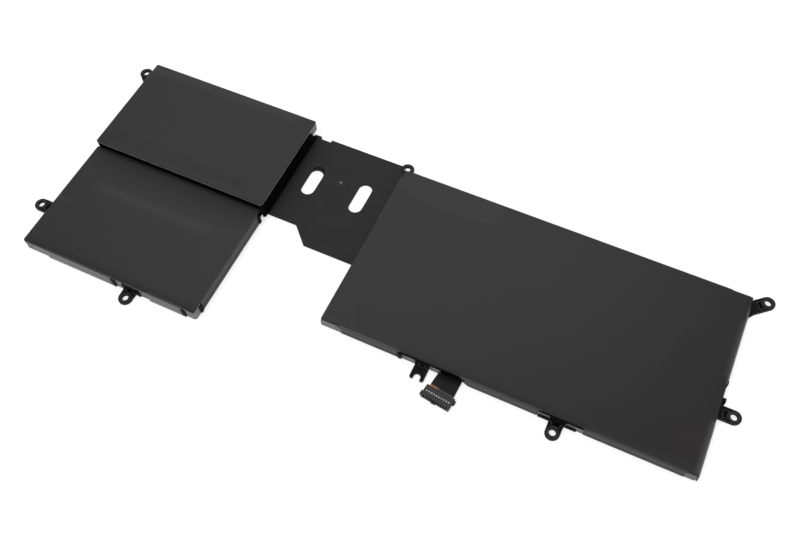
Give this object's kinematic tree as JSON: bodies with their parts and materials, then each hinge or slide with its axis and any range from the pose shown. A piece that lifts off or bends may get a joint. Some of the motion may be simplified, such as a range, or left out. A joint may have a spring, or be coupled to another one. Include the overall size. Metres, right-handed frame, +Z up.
{
  "type": "laptop battery",
  "caption": "Flat notebook battery pack: two film-wrapped cell blocks joined by a slotted moulded bridge, with screw ears, a forked lug and a short ribbon lead with a plug.",
  "frame": {"origin": "middle of the pack's footprint, ears included, on the surface that it lies on", "axes": "+X along the pack's length towards the larger block, +Y towards its rear edge, +Z up through its thickness"},
  "size_m": [0.352, 0.1308, 0.0106],
  "materials": {
    "film": "black laminated film, soft satin, folded over the cells and glued",
    "laminate": "embossed aluminium pouch laminate, dull silver",
    "tray": "black moulded plastic, fine spark texture",
    "black_tape": "thin black polyester tape, satin",
    "amber_tape": "amber polyimide tape, glossy",
    "tab_metal": "nickel strip and tab metal, dull",
    "foam": "dark closed-cell foam",
    "adhesive": "clear acrylic adhesive strip",
    "ribbon": "flat conductor in amber film",
    "circuit_board": "solder-masked glass-fibre board",
    "chip": "black moulded chip body",
    "ceramic": "small ceramic parts with tinned ends",
    "foil_strip": "foil-faced card strip",
    "wire": "black insulated wire",
    "plug": "black moulded plug, low gloss",
    "contact": "copper-alloy contacts"
  },
  "bodies": {
    "root": {"tray_left": "tray", "tray_main": "tray", "cell_left_front": "laminate", "cell_left_lower": "laminate", "cell_left_upper": "laminate", "cell_right_first": "laminate", "cell_right_middle": "laminate", "cell_right_last": "laminate", "tabs_left_front": "tab_metal", "tabs_left_lower": "tab_metal", "tabs_left_upper": "tab_metal", "tabs_right": "tab_metal", "tabs_right_middle": "tab_metal", "pads_left_front": "adhesive", "pads_left_lower": "adhesive", "pads_right": "adhesive", "stack_pad": "adhesive", "strip_left": "tab_metal", "strips_right": "tab_metal", "tape_left_front": "amber_tape", "tape_left_lower": "amber_tape", "tapes_right": "amber_tape", "foam_left": "foam", "foam_right": "foam", "ribbon_bridge": "ribbon", "ribbon_gap": "ribbon", "board": "circuit_board", "board_chip": "chip", "board_switches": "chip", "board_shunt": "ceramic", "board_fuse": "ceramic", "board_capacitors": "ceramic", "bay_strip": "foil_strip", "film_left_front": "film", "film_left_rear": "film", "film_right": "film", "film_bridge": "film", "tape_step": "black_tape", "tape_side": "black_tape", "lead_wires": "wire", "lead_tape": "black_tape", "plug_housing": "plug", "plug_contacts": "contact"}
  },
  "joints": []
}
